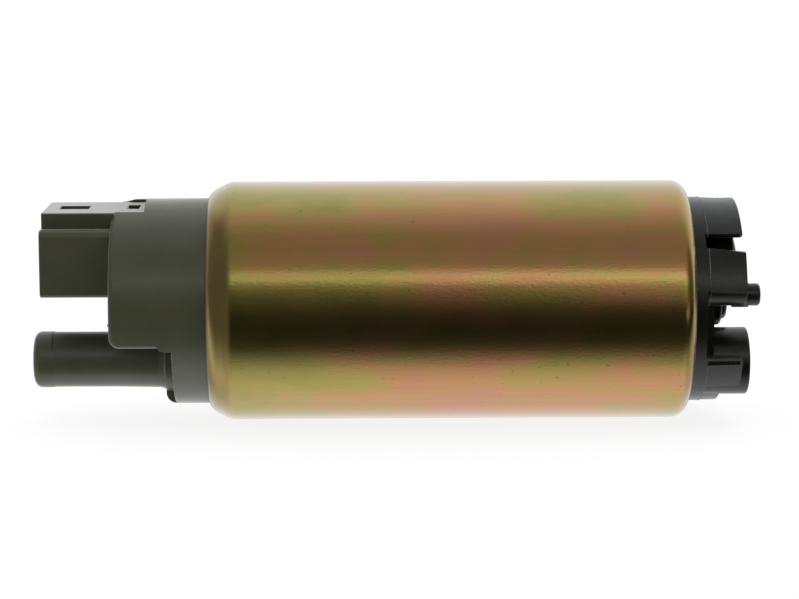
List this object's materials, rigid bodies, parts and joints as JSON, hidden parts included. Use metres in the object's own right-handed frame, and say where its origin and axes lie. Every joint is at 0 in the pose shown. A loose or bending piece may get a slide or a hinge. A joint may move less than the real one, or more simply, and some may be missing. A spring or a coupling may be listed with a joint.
{
  "type": "fuel pump",
  "caption": "Round in-tank electric fuel pump with a rolled steel can, a connector and hose spigot at one end and an inlet tube at the other.",
  "frame": {"origin": "on the motor axis, at the middle of the steel can's length", "axes": "+X along the motor axis towards the inlet end, +Z towards the side that carries the electrical connector, -Y towards the picture's camera"},
  "size_m": [0.1144, 0.038, 0.038],
  "materials": {
    "chromated_steel": "satin, yellow chromate with iridescent patches",
    "olive_plastic": "matte moulded plastic, olive grey",
    "black_plastic": "satin moulded plastic, black",
    "casing_plastic": "moulded plastic, dark grey",
    "impeller_resin": "moulded resin, dark brown",
    "seal_rubber": "rubber",
    "ferrite": "ground ferrite, dark grey",
    "spring_steel": "bright spring steel",
    "bearing_steel": "ground steel",
    "sintered_bronze": "oiled sintered bronze",
    "tinned_brass": "tin plate",
    "enamelled_copper": "enamelled copper wire",
    "bare_copper": "bare copper",
    "carbon": "carbon",
    "lamination_steel": "stacked sheet steel",
    "white_nylon": "natural nylon",
    "phenolic": "phenolic moulding",
    "valve_brass": "turned brass"
  },
  "bodies": {
    "housing": {"motor_can": "chromated_steel", "outlet_cover": "olive_plastic", "inlet_cover": "black_plastic", "pump_casing": "casing_plastic", "impeller_spacer_ring": "casing_plastic", "outlet_cover_seal": "seal_rubber", "magnet_front": "ferrite", "magnet_back": "ferrite", "magnet_clip_upper": "spring_steel", "magnet_clip_lower": "spring_steel", "outlet_bearing": "sintered_bronze", "inlet_bearing": "sintered_bronze", "thrust_pad": "bearing_steel", "terminal_positive": "tinned_brass", "terminal_negative": "tinned_brass", "choke_core_positive": "ferrite", "choke_core_negative": "ferrite", "choke_coil_positive": "enamelled_copper", "choke_coil_negative": "enamelled_copper", "check_valve_guide": "white_nylon", "relief_valve_plug": "white_nylon", "brush_spring_positive": "spring_steel", "brush_spring_negative": "spring_steel", "brush_lead_positive": "bare_copper", "brush_lead_negative": "bare_copper", "check_valve_spring": "spring_steel", "relief_valve_spring": "spring_steel"},
    "armature": {"shaft": "bearing_steel", "armature_core": "lamination_steel", "core_insulator_outlet": "white_nylon", "core_insulator_inlet": "white_nylon", "armature_windings": "enamelled_copper", "commutator_base": "phenolic", "commutator_risers": "bare_copper", "commutator_segments": "carbon", "thrust_washer": "white_nylon", "impeller": "impeller_resin"},
    "brush_positive": {"brush_positive": "carbon"},
    "brush_negative": {"brush_negative": "carbon"},
    "check_valve": {"check_valve_poppet": "valve_brass"},
    "relief_valve": {"relief_valve_ball": "bearing_steel"}
  },
  "joints": [
    {"name": "armature_spin", "type": "hinge", "parent": "housing", "child": "armature", "pos_m": [0, 0, 0], "axis": [1, 0, 0], "continuous": true},
    {"name": "brush_positive_slide", "type": "slide", "parent": "housing", "child": "brush_positive", "axis": [-1, 0, 0], "range_m": [0, 0.003], "stiffness_N_per_m": 60, "springref_m": -0.005, "deforming": ["brush_spring_positive", "brush_lead_positive"]},
    {"name": "brush_negative_slide", "type": "slide", "parent": "housing", "child": "brush_negative", "axis": [-1, 0, 0], "range_m": [0, 0.003], "stiffness_N_per_m": 60, "springref_m": -0.005, "deforming": ["brush_spring_negative", "brush_lead_negative"]},
    {"name": "check_valve_slide", "type": "slide", "parent": "housing", "child": "check_valve", "axis": [-1, 0, 0], "range_m": [0, 0.002], "stiffness_N_per_m": 150, "springref_m": -0.002, "deforming": ["check_valve_spring"]},
    {"name": "relief_valve_slide", "type": "slide", "parent": "housing", "child": "relief_valve", "axis": [-1, 0, 0], "range_m": [0, 0.0015], "stiffness_N_per_m": 1000, "springref_m": -0.0022, "deforming": ["relief_valve_spring"]}
  ]
}
